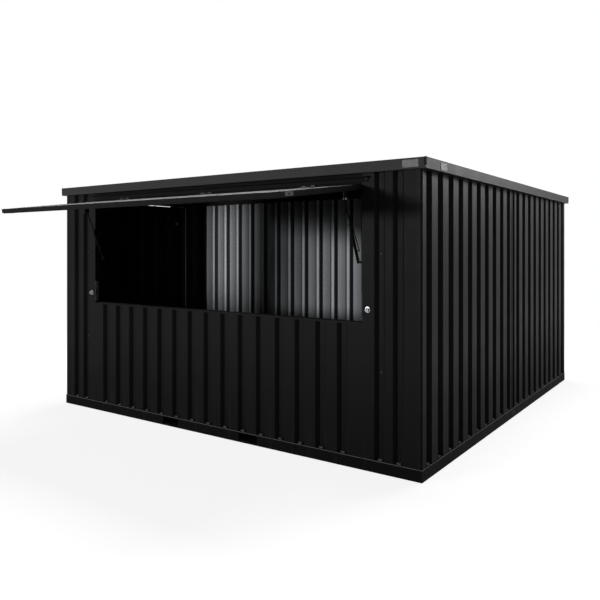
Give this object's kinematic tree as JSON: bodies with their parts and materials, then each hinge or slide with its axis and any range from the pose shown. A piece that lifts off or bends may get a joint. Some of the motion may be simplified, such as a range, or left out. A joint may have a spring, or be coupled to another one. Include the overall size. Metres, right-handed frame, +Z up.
{
  "type": "container bar",
  "caption": "Black ribbed sheet-steel container bar of joined modules, with a wide serving hatch that lifts on gas struts and an end door.",
  "frame": {"origin": "middle of the footprint, on the ground", "axes": "+X to the right along the front wall, +Y from the front to the rear, +Z up; the serving hatch faces -Y"},
  "size_m": [4.132, 5.514, 2.3],
  "materials": {
    "black_paint": "satin black powder coat on ribbed sheet steel",
    "galvanised_sheet": "bluish galvanised sheet",
    "floor_board": "sealed plywood boards",
    "bright_metal": "bright plated steel",
    "dull_steel": "dull bare steel"
  },
  "bodies": {
    "building": {"front_base_frame": "black_paint", "rear_base_frame": "black_paint", "base_spacers": "black_paint", "front_floor": "floor_board", "rear_floor": "floor_board", "front_posts": "black_paint", "middle_posts": "black_paint", "rear_posts": "black_paint", "joint_strips": "black_paint", "front_wall_left": "black_paint", "front_wall_right": "black_paint", "front_wall_lower": "black_paint", "front_wall_header": "black_paint", "hatch_jambs": "black_paint", "hatch_sill": "black_paint", "drip_rail": "black_paint", "right_wall_front": "black_paint", "right_wall_rear": "black_paint", "left_wall_front_end": "black_paint", "left_wall_back_end": "black_paint", "left_wall_rear": "black_paint", "middle_wall": "galvanised_sheet", "rear_wall": "black_paint", "door_frame": "black_paint", "front_roof_frame": "black_paint", "rear_roof_frame": "black_paint", "front_roof": "black_paint", "rear_roof": "black_paint", "hatch_locks": "bright_metal", "hatch_keepers": "dull_steel", "corner_plates": "dull_steel", "strut_brackets": "black_paint", "hatch_hinge_lugs": "black_paint", "door_hinge_lugs": "black_paint", "rear_door_leaf": "black_paint"},
    "hatch": {"hatch_frame": "black_paint", "hatch_skin": "black_paint", "hatch_hinge_straps": "black_paint"},
    "left_barrel": {"left_strut_barrel": "black_paint"},
    "left_rod": {"left_strut_rod": "black_paint"},
    "right_barrel": {"right_strut_barrel": "black_paint"},
    "right_rod": {"right_strut_rod": "black_paint"},
    "door": {"door_leaf": "black_paint", "door_locks": "bright_metal"}
  },
  "joints": [
    {"name": "hatch_hinge", "type": "hinge", "parent": "building", "child": "hatch", "pos_m": [0, -2.235, 2.146], "axis": [1, 0, 0], "range_deg": [0, 83]},
    {"name": "left_strut_pivot", "type": "hinge", "parent": "building", "child": "left_barrel", "pos_m": [-1.484, -2.165, 1.552], "axis": [-1, 0, 0], "range_deg": [0, 28.3]},
    {"name": "left_strut_slide", "type": "slide", "parent": "left_barrel", "child": "left_rod", "axis": [0, 0.401, -0.9161], "range_m": [0, 0.06821]},
    {"name": "right_strut_pivot", "type": "hinge", "parent": "building", "child": "right_barrel", "pos_m": [1.484, -2.165, 1.552], "axis": [-1, 0, 0], "range_deg": [0, 28.3]},
    {"name": "right_strut_slide", "type": "slide", "parent": "right_barrel", "child": "right_rod", "axis": [0, 0.401, -0.9161], "range_m": [0, 0.06821]},
    {"name": "door_hinge", "type": "hinge", "parent": "building", "child": "door", "pos_m": [-2.035, -1.367, 1.1], "axis": [0, 0, 1], "range_deg": [0, 100]}
  ],
  "couplings": [
    {"joint": "left_strut_pivot", "follows": "hatch_hinge", "ratio": 0.34068},
    {"joint": "left_strut_slide", "follows": "hatch_hinge", "m_per_rad": 0.04705},
    {"joint": "right_strut_pivot", "follows": "hatch_hinge", "ratio": 0.34068},
    {"joint": "right_strut_slide", "follows": "hatch_hinge", "m_per_rad": 0.04705}
  ]
}
